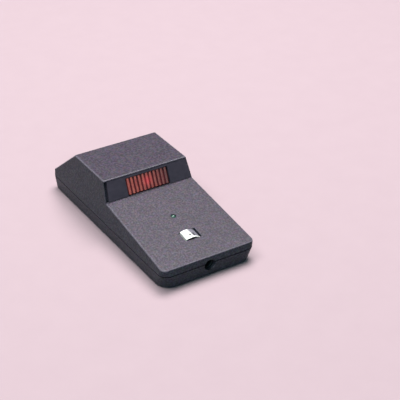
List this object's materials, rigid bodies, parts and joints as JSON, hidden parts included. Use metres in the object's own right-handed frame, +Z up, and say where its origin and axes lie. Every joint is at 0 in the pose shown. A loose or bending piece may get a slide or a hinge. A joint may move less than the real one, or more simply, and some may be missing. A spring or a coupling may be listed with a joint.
{
  "type": "counterfeit bill detector",
  "caption": "Hand-held magnetic-ink banknote detector: wedge case, raised battery head with ribbed red alarm window, rocker switch, power light, sprung pickup below.",
  "frame": {"origin": "middle of the case's length and width, on the plane that the feet stand on", "axes": "+Z up, +Y from the switch end towards the head's rear, +X to the right as seen from the switch end"},
  "size_m": [0.061, 0.136, 0.0347],
  "materials": {
    "case_plastic": "fine moulded texture, matte",
    "panel_plastic": "smooth, semi-gloss",
    "lens_red": "translucent, ribbed",
    "key_white": "satin",
    "led_green": "clear tinted epoxy",
    "led_red": "clear tinted epoxy",
    "foot_rubber": "matte",
    "fastener_steel": "zinc-plated",
    "board_laminate": "green solder mask",
    "component_black": "moulded, matte",
    "capacitor_sleeve": "shrink sleeve",
    "nylon_white": "moulded nylon",
    "contact_brass": "bright",
    "contact_tin": "tin-plated",
    "pickup_can": "polished nickel-iron can",
    "battery_can": "printed metal jacket",
    "foam": "open-cell foam",
    "lead_red": "insulated wire",
    "lead_black": "insulated wire",
    "lead_grey": "screened cable"
  },
  "bodies": {
    "case": {"upper_shell": "case_plastic", "lower_shell": "case_plastic", "face_panel": "panel_plastic", "alarm_lens": "lens_red", "switch_body": "component_black", "rocker_pin": "contact_tin", "power_led": "led_green", "power_led_spacer": "nylon_white", "main_board": "board_laminate", "board_screw_left": "fastener_steel", "board_screw_right": "fastener_steel", "amplifier_chip": "component_black", "comparator_chip": "component_black", "supply_capacitor": "capacitor_sleeve", "filter_capacitor": "capacitor_sleeve", "voltage_regulator": "component_black", "buzzer": "component_black", "alarm_board": "board_laminate", "alarm_led": "led_red", "jack_housing": "component_black", "jack_centre_pin": "contact_tin", "jack_sleeve_contact": "contact_brass", "head_spring": "contact_tin", "head_bracket": "fastener_steel", "bracket_screw_left": "fastener_steel", "bracket_screw_right": "fastener_steel", "battery": "battery_can", "battery_terminal_plus": "contact_tin", "battery_terminal_minus": "contact_tin", "battery_snap": "component_black", "battery_pad": "foam", "battery_lead_red": "lead_red", "battery_lead_black": "lead_black", "alarm_lead_red": "lead_red", "alarm_lead_black": "lead_black", "head_lead": "lead_grey", "case_screw_front_left": "fastener_steel", "rubber_foot_front_left": "foot_rubber", "case_screw_front_right": "fastener_steel", "rubber_foot_front_right": "foot_rubber", "case_screw_rear_left": "fastener_steel", "rubber_foot_rear_left": "foot_rubber", "case_screw_rear_right": "fastener_steel", "rubber_foot_rear_right": "foot_rubber"},
    "rocker": {"power_rocker": "key_white"},
    "battery_cover": {"battery_door": "case_plastic"},
    "pickup": {"magnetic_head": "pickup_can"}
  },
  "joints": [
    {"name": "rocker_tilt", "type": "hinge", "parent": "case", "child": "rocker", "pos_m": [0, -0.04654, 0.01492], "axis": [0, -0.9902, -0.1393], "range_deg": [0, 18]},
    {"name": "battery_door_slide", "type": "slide", "parent": "case", "child": "battery_cover", "axis": [0, 1, 0], "range_m": [0, 0.068]},
    {"name": "magnetic_head_float", "type": "slide", "parent": "case", "child": "pickup", "axis": [0, 0, 1], "range_m": [0, 0.0008], "stiffness_N_per_m": 200, "springref_m": -0.002, "deforming": ["head_spring"]}
  ]
}
